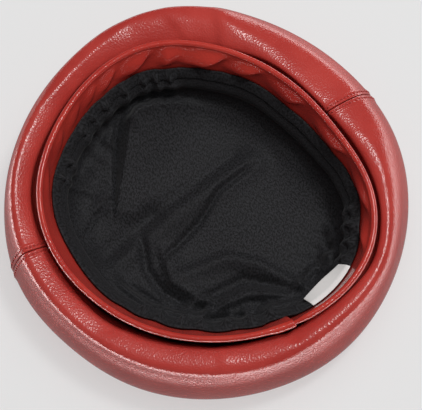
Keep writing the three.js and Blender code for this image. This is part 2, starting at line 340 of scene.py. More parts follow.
def makeSweep():
    # a wall of paper round the hat, cut open behind it
    deselectAll()
    bpy.ops.mesh.primitive_cylinder_add(
        vertices=studio["sweepSides"], radius=studio["sweepRadius"], depth=studio["sweepHeight"],
        end_fill_type="NOTHING", location=(0, 0, studio["sweepHeight"] / 2))
    sweep = takePrimitive("paperSweep")
    bpy.ops.object.mode_set(mode="EDIT")
    bpy.ops.mesh.select_all(action="DESELECT")
    bpy.ops.object.mode_set(mode="OBJECT")
    for face in sweep.data.polygons:
        toward = math.degrees(math.atan2(face.center.y, face.center.x)) % 360
        face.select = studio["sweepOpening"][0] < toward < studio["sweepOpening"][1]
    bpy.ops.object.mode_set(mode="EDIT")
    bpy.ops.mesh.select_mode(type="FACE")
    bpy.ops.mesh.delete(type="FACE")
    bpy.ops.object.mode_set(mode="OBJECT")
    addGlow(sweep, (0, 0, 1), *studio["sweepRise"], studio["paperFar"], studio["sweepTop"], "SMOOTHSTEP",
            studio["sweepFade"], studio["sweepLean"])
    return sweep


def makeNearPaper():
    deselectAll()
    bpy.ops.mesh.primitive_circle_add(
        vertices=studio["sweepSides"], radius=studio["sweepRadius"], fill_type="NGON",
        location=(0, 0, -studio["paperDrop"]))
    paper = takePrimitive("paperBeside")
    addGlow(paper, (1, 1, 0), studio["paperInner"], studio["sweepRadius"], studio["paperNear"],
            studio["paperFar"])
    return paper


def makeLights():
    for name in ("key", "ceiling"):
        lamp = bpy.data.lights.new(name + "Box", "AREA")
        lamp.shape = "DISK"
        lamp.energy = studio[name + "Power"]
        lamp.size = studio[name + "Size"]
        light = bpy.data.objects.new(name + "Box", lamp)
        bpy.context.scene.collection.objects.link(light)
        light.location = studio[name + "Place"]
        light.rotation_euler = light.location.to_track_quat("Z", "Y").to_euler()
        light.visible_glossy = name == "key"
    world = bpy.data.worlds.new("studio")
    bpy.context.scene.world = world
    world.cycles_visibility.glossy = False
    world.use_nodes = True
    glow = world.node_tree.nodes["Background"]
    glow.inputs["Color"].default_value = toLinear("#ffffff")
    glow.inputs["Strength"].default_value = studio["room"]


makeFloor()
makeSweep()
makeNearPaper()
makeLights()
print("floor and light set")

# Materials

# Glazed red leather, a thin bright film over a fine pebbled grain: it mirrors the lamps as a line of sparkle
# and turns pale where it is seen at a slant. Sizes are in mm
leatherFinish = {
    "grooveShadeColour": "#1c0605",  # painted shade: the near black the leather is darkened to where it turns into the groove, standing in for the shadow there
    "grainWidth": 1.1,  # coarser than real so that it shows
    "grainDepth": 0.125,
    "grainSoftness": 0.6,
    "rippleWidth": 7,
    "rippleDepth": 0.12,
    "mottleWidth": 35,
    "mottleStops": (0.35, 0.6),
    "ior": 1.5,
}
# Each leather's own look. dark: the shares of the way across it between which it takes the painted shade of
# the groove
panelLook = {
    "colour": "#bb413a", "deepColour": "#b03832", "grainScale": 1, "roughness": 0.23, "dark": (0.885, 0.935),
}
bandLook = {
    "colour": "#bd3a30", "deepColour": "#b0322b", "grainScale": 1.3, "roughness": 0.2, "dark": (0.13, 0.05),
}


def makeLeather(name, look):
    material, tree, shader = newMaterial(name, {
        "Roughness": look["roughness"], "IOR": leatherFinish["ior"], "Specular IOR Level": 0.5})
    place = addNode(tree, "ShaderNodeTexCoord")
    mottle = addNode(tree, "ShaderNodeTexNoise",
                     values={"Scale": 1000 / leatherFinish["mottleWidth"], "Detail": 3, "Roughness": 0.55},
                     links={"Vector": (place, "Object")})
    tone = addNode(tree, "ShaderNodeValToRGB", links={"Fac": (mottle, "Fac")})
    for stop, position, colour in zip(
            tone.color_ramp.elements, leatherFinish["mottleStops"], (look["deepColour"], look["colour"])):
        stop.position, stop.color = position, toLinear(colour)
    cut = addNode(tree, "ShaderNodeUVMap", {"uv_map": "cut"})
    strip = addNode(tree, "ShaderNodeSeparateXYZ", links={"Vector": (cut, "UV")})
    # painted shade: towards the groove the base colour is mixed into a near black, standing in for the shadow
    # there
    grooveShadeShare = addNode(tree, "ShaderNodeMapRange", {"interpolation_type": "SMOOTHSTEP"},
                       dict(zip(("From Min", "From Max"), look["dark"])), {"Value": (strip, "Y")})
    paintedShadeMix = addNode(tree, "ShaderNodeMix", {"data_type": "RGBA"}, {7: toLinear(leatherFinish["grooveShadeColour"])},
                   {"Factor": (grooveShadeShare, "Result"), 6: (tone, "Color")})
    tree.links.new(paintedShadeMix.outputs[2], shader.inputs["Base Color"])
    ripple = addNode(tree, "ShaderNodeTexNoise",
                     values={"Scale": 1000 / leatherFinish["rippleWidth"], "Detail": 2, "Roughness": 0.5},
                     links={"Vector": (place, "Object")})
    coarse = addNode(tree, "ShaderNodeBump",
                     values={"Strength": 1, "Distance": leatherFinish["rippleDepth"] / 1000},
                     links={"Height": (ripple, "Fac")})
    pebble = addNode(tree, "ShaderNodeTexVoronoi", {"feature": "SMOOTH_F1"},
                     {"Scale": 1000 / (leatherFinish["grainWidth"] * look["grainScale"]),
                      "Smoothness": leatherFinish["grainSoftness"]}, {"Vector": (place, "Object")})
    fine = addNode(tree, "ShaderNodeBump",
                   values={"Strength": 1, "Distance": leatherFinish["grainDepth"] / 1000},
                   links={"Height": (pebble, "Distance"), "Normal": (coarse, "Normal")})
    tree.links.new(fine.outputs["Normal"], shader.inputs["Normal"])
    return material


glazedLeather = makeLeather("glazedLeather", panelLook)
bandLeather = makeLeather("bandLeather", bandLook)

# Black polyester twill, matt and soft, with a faint grey bloom where it lies open to the light
liningFinish = {
    "colour": "#2e2e31", "darkColour": "#171718",
    "toneStops": (0.43, 0.57),
    "threadSpacing": 0.9,  # mm, coarser than real so that it shows
    "threadDepth": 0.16,
    "threadTurn": 35,  # degrees
    "threadStretch": 0.45,  # a rib's width as a share of its length
    "fleckSize": 1.6,
    "roughness": 0.7,
    "sheen": 0.08,
}


def makeTwill():
    material, tree, shader = newMaterial("polyesterTwill", {
        "Roughness": liningFinish["roughness"], "Specular IOR Level": 0.3,
        "Sheen Weight": liningFinish["sheen"], "Sheen Roughness": 0.4})
    cut = addNode(tree, "ShaderNodeUVMap", {"uv_map": "cut"})
    turned = addNode(tree, "ShaderNodeMapping", values={
        "Rotation": (0, 0, math.radians(liningFinish["threadTurn"])),
        "Scale": (1, liningFinish["threadStretch"], 1)}, links={"Vector": (cut, "UV")})
    ribs = addNode(tree, "ShaderNodeTexNoise",
                   values={"Scale": 1000 / liningFinish["threadSpacing"], "Detail": 1},
                   links={"Vector": (turned, "Vector")})
    fleck = addNode(tree, "ShaderNodeTexNoise",
                    values={"Scale": 1000 / liningFinish["fleckSize"], "Detail": 2, "Roughness": 0.7},
                    links={"Vector": (cut, "UV")})
    mixed = addNode(tree, "ShaderNodeMix", {"data_type": "FLOAT"}, {"Factor": 0.5},
                    {"A": (ribs, "Fac"), "B": (fleck, "Fac")})
    tone = addNode(tree, "ShaderNodeValToRGB", links={"Fac": (mixed, "Result")})
    for stop, position, name in zip(
            tone.color_ramp.elements, liningFinish["toneStops"], ("darkColour", "colour")):
        stop.position, stop.color = position, toLinear(liningFinish[name])
    tree.links.new(tone.outputs["Color"], shader.inputs["Base Color"])
    weave = addNode(tree, "ShaderNodeBump",
                    values={"Strength": 1, "Distance": liningFinish["threadDepth"] / 1000},
                    links={"Height": (mixed, "Result")})
    tree.links.new(weave.outputs["Normal"], shader.inputs["Normal"])
    return material


twill = makeTwill()

# White polyester satin, smooth with a slight gloss, ridged along the warp
satinFinish = {
    "colour": "#eceae8", "roughness": 0.45,
    "bands": "X", "unitRadians": 20,  # how far the wave turns for each unit of its scale
    "step": 0.6,  # mm for each radian of the wave, so its ridges are 3.8 mm apart, coarser than real
    "depth": 0.05, "strength": 0.6, "distortion": 0.6,
}
# Bonded polyester sewing thread dyed with the leather, its twisted strands ridged aslant, with a slight gloss
threadFinish = {
    "colour": "#a8342f", "roughness": 0.4,
    "bands": "DIAGONAL", "unitRadians": 10,
    "step": 1,  # so coarse that it only tells one stitch from the next
    "depth": 0.06, "strength": 0.7, "distortion": 1,
}


def makeRidged(name, finish, output, *where):
    material, tree, shader = newMaterial(name, {
        "Base Color": toLinear(finish["colour"]), "Roughness": finish["roughness"]})
    place = addNode(tree, *where)
    ridges = addNode(tree, "ShaderNodeTexWave", {"bands_direction": finish["bands"]},
                     {"Scale": 1000 / finish["step"] / finish["unitRadians"],
                      "Distortion": finish["distortion"], "Detail": 1}, {"Vector": (place, output)})
    ridged = addNode(tree, "ShaderNodeBump",
                     values={"Strength": finish["strength"], "Distance": finish["depth"] / 1000},
                     links={"Height": (ridges, "Fac")})
    tree.links.new(ridged.outputs["Normal"], shader.inputs["Normal"])
    return material


satin = makeRidged("polyesterSatin", satinFinish, "UV", "ShaderNodeUVMap", {"uv_map": "cut"})
redThread = makeRidged("bondedThread", threadFinish, "Object", "ShaderNodeTexCoord")
print("materials made")

# Side ring: from the crown seam out under the edge, over the roll and down into the groove round the band

ringShape = {
    "seamRadius": 102, "seamHeight": 3.5, "seamGap": 0.8,
    "bellyOut": 0.74, "bellyUp": 0.3,
    "throatDrop": 4.5, "throatOut": 0.2, "deepIn": 0.8, "deepHeight": 38,
    "grooveHeight": 31, "grooveGap": 0.5,
    "easing": 1.3,  # mm, over which the section's bends are eased
    "crestEdge": 3.6,  # half width of the edge pressed along the crest
    "crestRun": 9,  # places round the ring over which the crest's own place is averaged
    "mapSteps": (720, 400),  # of the ring's own map, round it and from the crown seam to the groove
}
crossSeams = {"right": {"groove": 36, "edge": 32.5}, "left": {"groove": 197, "edge": 202}}
bandShape = {
    "ply": 1.1, "thickness": 2.6, "rimHeight": 60, "rimRadius": 2.1, "seamHeight": 44,
    "innerPlyEnd": 38.5, "baseHeight": 30, "baseLean": 3, "mmPerDegree": 1.6, "steps": 380,
    # shares of the way from the rim to the seam over which its folds grow and fade
    "foldGrow": (0, 0.4), "foldFade": (0.55, 1.05), "foldFaded": 0.85, "foldEnd": 1.1,
}
bandTop = bandShape["rimHeight"] - bandShape["rimRadius"]
lapShape = {
    "start": 297, "length": 6, "ramp": 5, "spread": 1.45, "tongueRadius": 1.35, "sleeveRadius": 2.75,
    "foldDrop": 0.95, "flare": 1.2, "flareWidth": 3, "flareGrow": (0, 0.5),
}
dents = named(["deg", "halfWidth", "depth", "start", "end"], [
    [100, 7, 0.8, 0.5, 0.85], [133, 9, 1, 0.45, 0.95], [230, 6, 1, 0.72, 1], [276, 7, 1.2, 0.7, 1],
    [302, 6, 1, 0.7, 1], [338, 8, 1, 0.65, 0.95], [60, 12, 0.8, 0.45, 0.85],
])
waves = named(["deg", "halfWidth", "depth"], [
    [20, 5, 1], [49, 5, 0.6], [89, 5, 1], [105, 7, 1.2], [133, 6, 0.6], [234, 4, 0.7], [248, 4, 1],
    [266, 5, 1.2], [283, 4, 0.8], [350, 6, 1.2],
])


def swell(deg):
    # how far the lapped ends of the band push their neighbours aside, from 0 to 1
    past = turnFrom(deg, lapShape["start"])
    return smoothStep(past, -lapShape["ramp"], 0) * (
        1 - smoothStep(past, lapShape["length"], lapShape["length"] + lapShape["ramp"]))


# Folds: ridges (height above 0) and creases (below 0), each from one place to another. A place is an angle
# and a share t of the way down the cloth. The sides, in mm, are those of someone walking the fold, and the
# right is the one with the larger angle
foldColumns = ["deg1", "t1", "deg2", "t2", "leftSide", "rightSide", "height"]
foldEnds = 0.7  # how far a fold fades past its ends, as a share of its wider side


def foldHeight(x, y, line, leftSide, rightSide, height, endFade, crispSide=0):
    # a fold's height at places x, y along a bent line of places, all in mm. A side or a height may be a pair,
    # for the line's start and end. The crisp side (1 the right, -1 the left) falls as a plane
    last = len(line) - 2
    nearest = np.full(np.broadcast(x, y).shape, np.inf)
    side, beyond, travel = np.zeros_like(nearest), np.zeros_like(nearest), np.zeros_like(nearest)
    for k, (start, end) in enumerate(zip(line[:-1], line[1:])):
        wayX, wayY = end[0] - start[0], end[1] - start[1]
        length = math.hypot(wayX, wayY)
        offX, offY = x - start[0], y - start[1]
        share = (offX * wayX + offY * wayY) / length**2
        share = np.clip(share, -np.inf if k == 0 else 0, np.inf if k == last else 1)
        away = np.hypot(offX - share * wayX, offY - share * wayY)
        closer = away < nearest
        nearest = np.where(closer, away, nearest)
        side = np.where(closer, offX * wayY - offY * wayX, side)
        over = np.maximum(0, -share if k == 0 else 0) + np.maximum(0, share - 1 if k == last else 0)
        beyond = np.where(closer, over * length, beyond)
        travel = np.where(closer, (k + np.clip(share, 0, 1)) / (last + 1), travel)
    left, right, height = (
        np.interp(travel, (0, 1), np.broadcast_to(pair, 2)) for pair in (leftSide, rightSide, height))
    width = np.where(side > 0, right, left)
    fall = np.where(np.sign(side) * crispSide > 0, np.maximum(0, 1 - nearest / width), bell(nearest, width))
    return height * fall * bell(beyond, endFade)


def allFolds(rows, deg, down, scaleX, scaleY):
    # down: the share of the way down the cloth, which measures scaleX mm a degree and scaleY mm in all
    total = 0
    for row in rows:
        end = (float(turnFrom(row["deg2"], row["deg1"])) * scaleX, row["t2"] * scaleY)
        total = total + foldHeight(
            turnFrom(deg, row["deg1"]) * scaleX, down * scaleY, [(0, row["t1"] * scaleY), end],
            row["leftSide"], row["rightSide"], row["height"],
            max(row["leftSide"], row["rightSide"]) * foldEnds)
    return total


# Slanting folds on the inside of the band, drawn by the gathered lining: most rise sharply on the left and
# fade on the right. t is the share of the way down from the rim to the lining's hem
bandFolds = named(foldColumns, [
    [17, 0.10, 27, 1.05, 2.4, 13, 3.3],
    [44, 0.05, 54, 1.05, 2.4, 14, 2.8],
    [67, 0.10, 79, 1.05, 2.2, 7, 4],
    [83, 0.10, 96.5, 1.05, 2, 8, 5.4],
    [104, 0.05, 109, 1.05, 7, 2.4, 4.4],
    [112, 0.05, 123, 1.05, 2, 6, 4.4],
    [126, 0.10, 135, 1.05, 2.2, 5, 2.6],
    [136, 0.20, 143, 1.05, 2.2, 5, 1.6],
    [145, 0.20, 152, 1.05, 2.2, 6, 1.4],
    [157, 0.20, 163, 1.05, 2.4, 6, 1.2],
    [172, 0.20, 181, 1.05, 2.4, 9, 1.2],
    [340, 0.05, 348, 1.05, 2.4, 6, 3],
    [354, 0.10, 5, 1.05, 2.2, 9, 3],
])


def bandPlain(deg, height):
    height = np.asarray(height, float)
    drawnIn = sum(w["depth"] * bell(turnFrom(deg, w["deg"]), w["halfWidth"]) for w in waves)
    seam = around("hemR", deg) - drawnIn
    seamZ = bandShape["seamHeight"]
    down = (seamZ - height) / (seamZ - bandShape["baseHeight"])
    up = (height - seamZ) / (bandTop - seamZ)
    rim = around("rimR", deg) - bandShape["rimRadius"]
    return np.where(height < seamZ, seam - bandShape["baseLean"] * down, seam + (rim - seam) * up)


def bandInner(deg, height):
    # the folds stand out between the rim and the hem of the lining
    tall = bandTop - bandShape["seamHeight"]
    down = (bandTop - np.asarray(height, float)) / tall
    faded = 1 - bandShape["foldFaded"] * smoothStep(down, *bandShape["foldFade"])
    share = smoothStep(down, *bandShape["foldGrow"]) * faded
    folds = allFolds(bandFolds, deg, np.minimum(down, bandShape["foldEnd"]), bandShape["mmPerDegree"], tall)
    return bandPlain(deg, height) - share * folds


def bandOuter(deg, height):
    return bandPlain(deg, height) + bandShape["thickness"]


def stackKnots(knots, deg):
    # pairs of radius and height, each one number or one for every angle, become (sections, knots, 2)
    full = np.ones_like(deg)
    return np.stack([np.stack([radius * full, height * full], -1) for radius, height in knots], 1)


def throughPoints(points, count, between=60):
    # evenly spaced points of a smooth curve through given ones, in many sections at once
    p = np.concatenate([2 * points[:, :1] - points[:, 1:2], points, 2 * points[:, -1:] - points[:, -2:-1]], 1)
    step = np.linalg.norm(np.diff(p, axis=1), axis=2) ** 0.5
    x = np.linspace(0, 1, between, endpoint=False)[None, :, None]
    parts = []
    for k in range(1, p.shape[1] - 2):
        d0, d1, d2 = (step[:, k + j, None] for j in (-1, 0, 1))
        p0, p1, p2, p3 = (p[:, k + j] for j in (-1, 0, 1, 2))
        m1 = ((p1 - p0) / d0 - (p2 - p0) / (d0 + d1) + (p2 - p1) / d1) * d1
        m2 = ((p2 - p1) / d1 - (p3 - p1) / (d1 + d2) + (p3 - p2) / d2) * d1
        p1, p2, m1, m2 = (q[:, None] for q in (p1, p2, m1, m2))
        parts.append(p1 + x * m1 + x**2 * (3 * (p2 - p1) - 2 * m1 - m2) + x**3 * (2 * (p1 - p2) + m1 + m2))
    line = np.concatenate(parts + [points[:, -1:]], 1)
    run = np.cumsum(np.linalg.norm(np.diff(line, axis=1), axis=2), 1)
    length = np.concatenate([np.zeros((len(line), 1)), run], 1)
    share = np.linspace(0, 1, count)
    even = [[np.interp(share * n[-1], n, row[:, axis]) for axis in (0, 1)] for n, row in zip(length, line)]
    return np.stack(even).transpose(0, 2, 1), length[:, -1]


def eased(line, spacing, reach):
    # a running average along the section that leaves both ends where they are
    half = int(np.ceil(3 * reach / spacing))
    weight = bell(np.arange(-half, half + 1) * spacing, reach * math.sqrt(2))
    weight /= weight.sum()
    before = 2 * line[:, :1] - line[:, half:0:-1]
    after = 2 * line[:, -1:] - line[:, -2:-half - 2:-1]
    padded = np.concatenate([before, line, after], 1)
    return sum(w * padded[:, k:k + line.shape[1]] for k, w in enumerate(weight))


ringDegrees = np.linspace(0, 360, ringShape["mapSteps"][0], endpoint=False)
ringShares = np.linspace(0, 1, ringShape["mapSteps"][1] + 1)
mmPerDegree, ringLength = 1.96, 150  # the map's own sizes, on which the folds are drawn

# Folds drawn into the roll. t is the share of the way from the crown seam to the groove
ringFolds = named(foldColumns, [
    [85.5, 0.575, 83.5, 0.74, 15, 4.5, 1.9],
    [101.5, 0.570, 97, 0.74, 8, 3.5, 1],
    [114.5, 0.545, 113, 0.63, 10, 7, -0.2],
    [138.5, 0.660, 138, 0.72, 2.5, 2.5, -0.25],
    [152.5, 0.640, 153.5, 0.71, 6, 3, 0.35],
    [10, 0.737, 24, 0.733, 2.5, 2.5, 0.45],
    [232.5, 0.665, 237, 0.79, 13, 6, -0.7],
    [275.5, 0.685, 275, 0.80, 2.2, 10, 0.55],
    [300.5, 0.730, 299, 0.82, 3, 6, -1],
])
# A faint edge pressed along the crest, in mm; below 0 the crest is flatter
crestEdge = np.array([
    [0, 0], [12, 0.25], [20, 0.15], [30, -0.1], [60, -0.15], [76, -0.05], [84, 0.2], [95, 0], [108, 0],
    [118, 0.35], [135, 0.4], [150, 0.4], [175, 0.4], [200, 0.45], [228, 0.4], [240, 0.1], [285, 0.1],
    [310, 0.2], [335, 0.05],
])


def makeRingMap():
    deg = ringDegrees
    groove = bandOuter(deg, ringShape["grooveHeight"]) + ringShape["grooveGap"]
    groove = groove + lapShape["spread"] * swell(deg)
    startR, startZ = ringShape["seamRadius"] + ringShape["seamGap"] / 2, ringShape["seamHeight"]
    edgeR, edgeZ, lipR, lipZ = (around(column, deg) for column in ("edgeR", "edgeZ", "lipR", "lipZ"))
    bellyR = startR + (edgeR - startR) * ringShape["bellyOut"]
    bellyZ = startZ + (edgeZ - startZ) * ringShape["bellyUp"]
    line, length = throughPoints(stackKnots([
        (startR, startZ),
        (bellyR, bellyZ),
        (edgeR, edgeZ),
        (around("flankR", deg), around("flankZ", deg)),
        (around("shoulderR", deg), around("shoulderZ", deg)),
        (crestRadius(deg), around("crestZ", deg)),
        (lipR, lipZ),
        (lipR + ringShape["throatOut"], lipZ - ringShape["throatDrop"]),
        (lipR - ringShape["deepIn"], ringShape["deepHeight"]),
        (groove, ringShape["grooveHeight"]),
    ], deg), len(ringShares))
    line = eased(line, length.mean() / (len(ringShares) - 1), ringShape["easing"])
    t = ringShares[None, :]
    along = np.gradient(line, axis=1)
    along /= np.linalg.norm(along, axis=2, keepdims=True)
    depth = 0
    for d in dents:
        share = np.clip((t - d["start"]) / (d["end"] - d["start"]), 0, 1)
        pressed = d["depth"] * bell(turnFrom(deg, d["deg"]), d["halfWidth"])[:, None]
        depth = depth - pressed * np.sin(np.pi * share) ** 2
    depth = depth + allFolds(ringFolds, deg[:, None], t, mmPerDegree, ringLength)
    run = ringShape["crestRun"]
    crestAt = np.argmax(line[..., 1], axis=1) / (len(ringShares) - 1) * ringLength
    crestAt = np.convolve(np.pad(crestAt, run // 2, "wrap"), np.full(run, 1 / run), "valid")
    edge = np.interp(deg, crestEdge[:, 0], crestEdge[:, 1], period=360)
    depth = depth + edge[:, None] * bell(t * ringLength - crestAt[:, None], ringShape["crestEdge"])
    line[..., 0] += along[..., 1] * depth
    line[..., 1] -= along[..., 0] * depth
    return polar(deg[:, None], line[..., 0], line[..., 1])


ringMap = makeRingMap()
aroundWay = np.roll(ringMap, -1, 0) - np.roll(ringMap, 1, 0)
ringNormals = np.cross(aroundWay, np.gradient(ringMap, axis=1))
ringNormals /= np.linalg.norm(ringNormals, axis=2, keepdims=True)


def onRing(table, deg, t):
    count = len(ringDegrees)
    x, y = np.mod(deg, 360) * (count / 360), np.clip(t, 0, 1) * (len(ringShares) - 1)
    i, j = np.floor(x).astype(int), np.minimum(np.floor(y).astype(int), len(ringShares) - 2)
    x, y = (x - i)[:, None], (y - j)[:, None]
    here, there = ((1 - y) * table[k % count, j] + y * table[k % count, j + 1] for k in (i, i + 1))
    return (1 - x) * here + x * there


# Cross seams: the edges turn down into a crease between two raised flats, each with a row of stitches
seamShape = {
    "turnWidth": 0.75, "turnDepth": 0.65, "halfGap": 0.02,
    "flatWidth": 3.6, "flatHeight": 0.55, "flatEdge": (-0.6, 1.6),
    "stitchLine": 2.4, "stitchDip": 0.6, "stitchDipWidth": 0.6,
    "stitchSpacing": 2.6, "stitchLength": 1.6, "stitchLift": 0.2, "stitchStart": 0.12, "stitchEnd": 0.86,
    "threadRadius": 0.45, "threadOut": 0.4, "threadSides": 8, "threadRings": 6,
    "samples": 600,  # places along a row where its line is worked out
}


def seamHeight(away):
    # how far the leather stands above its plain surface, at a distance in mm from the crease
    turned = -seamShape["turnDepth"] * bell(away, seamShape["turnWidth"])
    start, end = (seamShape["flatWidth"] + reach for reach in seamShape["flatEdge"])
    flat = seamShape["flatHeight"] * (1 - smoothStep(away, start, end))
    dip = -seamShape["stitchDip"] * bell(away - seamShape["stitchLine"], seamShape["stitchDipWidth"])
    return turned + flat + dip


def seamAngle(seam, t):
    # the seams slant a little: further round at the groove than at the edge
    return seam["edge"] + (seam["groove"] - seam["edge"]) * t


def panelFace(start, end):
    def face(s, t):
        low, high = seamAngle(start, t), seamAngle(end, t)
        halfGap = seamShape["halfGap"] / mmPerDegree
        deg = low + halfGap + (high - low - 2 * halfGap) * s
        away = np.minimum(deg - low, high - deg) * mmPerDegree
        return onRing(ringMap, deg, t) + onRing(ringNormals, deg, t) * seamHeight(away)[:, None]
    return face


panelShape = {
    "length": 350, "finest": 0.55, "coarsest": 2.3, "fineReach": (3.6, 9.6),  # mm, along the panel
    "under": 0.3,  # the share of the way across that lies out of sight, where the steps are coarser
    "underSteps": 12, "overSteps": 45,
}


def seamwiseSteps():
    # steps along a panel, fine by its seams and coarser between them, as shares of the whole
    finest, coarsest = panelShape["finest"], panelShape["coarsest"]
    steps, place = [0.0], 0.0
    while place < panelShape["length"] / 2:
        place += finest + (coarsest - finest) * float(smoothStep(place, *panelShape["fineReach"]))
        steps.append(place)
    half = np.array(steps) / steps[-1] / 2
    return np.concatenate([half, 1 - half[-2::-1]])


def makePanels():
    steps = seamwiseSteps()
    under = np.linspace(0, panelShape["under"], panelShape["underSteps"] + 1)
    over = np.linspace(panelShape["under"], 1, panelShape["overSteps"] + 1)
    rows = np.concatenate([under[:-1], over])
    right, left = crossSeams["right"], crossSeams["left"]
    rightAgain = {key: value + 360 for key, value in right.items()}
    for name, node, start, end in (
        ("sidePanelFar", "side_panel_far", right, left),
        ("sidePanelNear", "side_panel_near", left, rightAgain),
    ):
        piece = clothGrid(name, (steps, rows), panelFace(start, end))
        finishCloth(piece, hat["leatherWall"], 1, glazedLeather, "leather", node)


makePanels()

# Top stitching of the cross seams: one stitch, copied down both sides of each seam


def stitchPlaces():
    # middle, way along the row and outward way of every stitch, in mm
    places = []
    for seam in crossSeams.values():
        for side in (-1, 1):
            shares = np.linspace(seamShape["stitchStart"], seamShape["stitchEnd"], seamShape["samples"])
            deg = seamAngle(seam, shares) + side * seamShape["stitchLine"] / mmPerDegree
            lift = seamHeight(np.full_like(shares, seamShape["stitchLine"]))
            lift = lift + seamShape["threadRadius"] * seamShape["threadOut"] + seamShape["stitchLift"]
            outward = onRing(ringNormals, deg, shares)
            line = onRing(ringMap, deg, shares) + outward * lift[:, None]
            run = np.concatenate([[0], np.cumsum(np.linalg.norm(np.diff(line, axis=0), axis=1))])
            for place in np.arange(seamShape["stitchSpacing"] / 2, run[-1], seamShape["stitchSpacing"]):
                k = int(np.searchsorted(run, place))
                along = line[min(k + 3, len(line) - 1)] - line[k - 3 if k > 3 else 0]
                places.append((line[k], along / np.linalg.norm(along), outward[k]))
    return places


def makeStitches():
    deselectAll()
    bpy.ops.mesh.primitive_uv_sphere_add(
        segments=seamShape["threadSides"], ring_count=seamShape["threadRings"], radius=1, location=(0, 0, 0))
    first = bpy.context.object
    first.name = "crossSeamStitching"
    bpy.ops.transform.resize(value=(
        seamShape["stitchLength"] / 2000, seamShape["threadRadius"] / 1000, seamShape["threadRadius"] / 1000))
    applyPlace()
    bpy.ops.object.shade_smooth()
    stitches = []
    for middle, along, outward in stitchPlaces():
        across = np.cross(outward, along)
        stitch = first.copy()
        stitch.data = first.data.copy()
        bpy.context.scene.collection.objects.link(stitch)
        turn = Matrix([along, across, np.cross(along, across)]).transposed().to_4x4()
        stitch.matrix_world = Matrix.Translation((middle + [*hat["axis"], 0]) / 1000) @ turn
        stitches.append(stitch)
    deselectAll()
    bpy.data.objects.remove(first)
    for stitch in stitches:
        stitch.select_set(True)
    bpy.context.view_layer.objects.active = stitches[0]
    bpy.ops.object.join()
    applyPlace()
    rows = bpy.context.object
    rows.name = rows.data.name = "crossSeamStitching"
    rows.data.materials.append(redThread)
    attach(rows, "root")
    print("made", rows.name, "with", len(stitches), "stitches")


makeStitches()

# Crown: a flat round of leather, rising a little to its seam

crownShape = {
    "radius": 101.6, "flatRadius": 88, "seamHeight": 3.5, "dishPower": 1.6, "sides": 144,
    "rings": (4, 4, 5, 8, 16, 24, 24),
}


def makeCrown():
    middleX, middleY = (place / 1000 for place in hat["axis"])
    flat, rim = crownShape["flatRadius"] / 1000, crownShape["radius"] / 1000
    deselectAll()
    bpy.ops.mesh.primitive_circle_add(
        vertices=crownShape["sides"], radius=rim, fill_type="NGON", location=(middleX, middleY, 0))
    crown = takePrimitive("crownTop")
    bpy.ops.object.mode_set(mode="EDIT")
    bpy.ops.mesh.select_all(action="SELECT")
    for width in crownShape["rings"]:
        bpy.ops.mesh.inset(thickness=width / 1000, depth=0)
    bpy.ops.mesh.poke()
    bpy.ops.mesh.select_all(action="SELECT")
    bpy.ops.mesh.normals_make_consistent(inside=True)
    bpy.ops.object.mode_set(mode="OBJECT")
    for corner in crown.data.vertices:
        radius = math.hypot(corner.co.x - middleX, corner.co.y - middleY)
        dished = max(0, (radius - flat) / (rim - flat)) ** crownShape["dishPower"]
        corner.co.z = crownShape["seamHeight"] / 1000 * dished
    if crown.data.polygons[0].normal.z > 0:
        crown.data.flip_normals()
    finishCloth(crown, hat["leatherWall"], 1, glazedLeather, "leather", "crown_top")


makeCrown()

# Head band: one strip folded over the rim, its ends lapped, tongue inside sleeve

bandRows = {"outer": 7, "fold": 12, "inner": 9, "ply": 3}  # steps up, over the rim, down and on behind


def bandFace(s, t):
    start, ramp = lapShape["start"], lapShape["ramp"]
    deg = start + s * (360 + lapShape["length"])
    tongueEnd = start + lapShape["length"]
    tongue = 1 - smoothStep(deg, tongueEnd, tongueEnd + ramp)
    sleeve = smoothStep(deg, start + 360 - ramp, start + 360)
    radius = (bandShape["rimRadius"] + (lapShape["tongueRadius"] - bandShape["rimRadius"]) * tongue
              + (lapShape["sleeveRadius"] - bandShape["rimRadius"]) * sleeve)
    fold = bandTop - lapShape["foldDrop"] * (tongue + sleeve)
    spread = lapShape["spread"] * sleeve
    rim = around("rimR", deg)
    seamZ, baseZ, endZ = bandShape["seamHeight"], bandShape["baseHeight"], bandShape["innerPlyEnd"]
    # the strip's way round the section, by rows
    outerEnd = bandRows["outer"]
    foldEnd = outerEnd + bandRows["fold"]
    innerEnd = foldEnd + bandRows["inner"]
    row = np.rint(t * (innerEnd + bandRows["ply"])).astype(int)
    arc = np.radians(np.clip((row - outerEnd) / bandRows["fold"], 0, 1) * 180)
    down = np.clip((row - foldEnd) / bandRows["inner"], 0, 1)
    last = np.clip((row - innerEnd) / bandRows["ply"], 0, 1)
    # up the outer ply
    outerZ = baseZ + (fold - baseZ) * np.clip(row / outerEnd, 0, 1)
    outerBase, outerSeam = bandOuter(deg, baseZ) + spread, bandOuter(deg, seamZ) + spread
    outerR = np.where(
        outerZ < seamZ, outerBase + (outerSeam - outerBase) * (outerZ - baseZ) / (seamZ - baseZ),
        outerSeam + (rim + radius - outerSeam) * (outerZ - seamZ) / (fold - seamZ))
    # over the rim
    foldR, foldZ = rim + radius * np.cos(arc), fold + radius * np.sin(arc)
    # down to the lining's seam, and on behind it
    innerZ = fold + (seamZ - fold) * down
    folds = bandPlain(deg, innerZ) - bandInner(deg, innerZ)
    past = deg - start - 360 - lapShape["length"]
    flare = lapShape["flare"] * bell(past, lapShape["flareWidth"]) * smoothStep(down, *lapShape["flareGrow"])
    innerR = rim - radius + (bandPlain(deg, seamZ) - spread - rim + radius) * down - folds - flare
    plyZ = seamZ + (endZ - seamZ) * last
    plyR = bandInner(deg, plyZ) - spread
    parts = [row < outerEnd, row <= foldEnd, row <= innerEnd]
    return polar(deg, np.select(parts, [outerR, foldR, innerR], plyR),
                 np.select(parts, [outerZ, foldZ, innerZ], plyZ))


def makeBand():
    piece = clothGrid("headBand", (bandShape["steps"], sum(bandRows.values())), bandFace)
    finishCloth(piece, bandShape["ply"], 1, bandLeather, "band_leather", "headband")


makeBand()

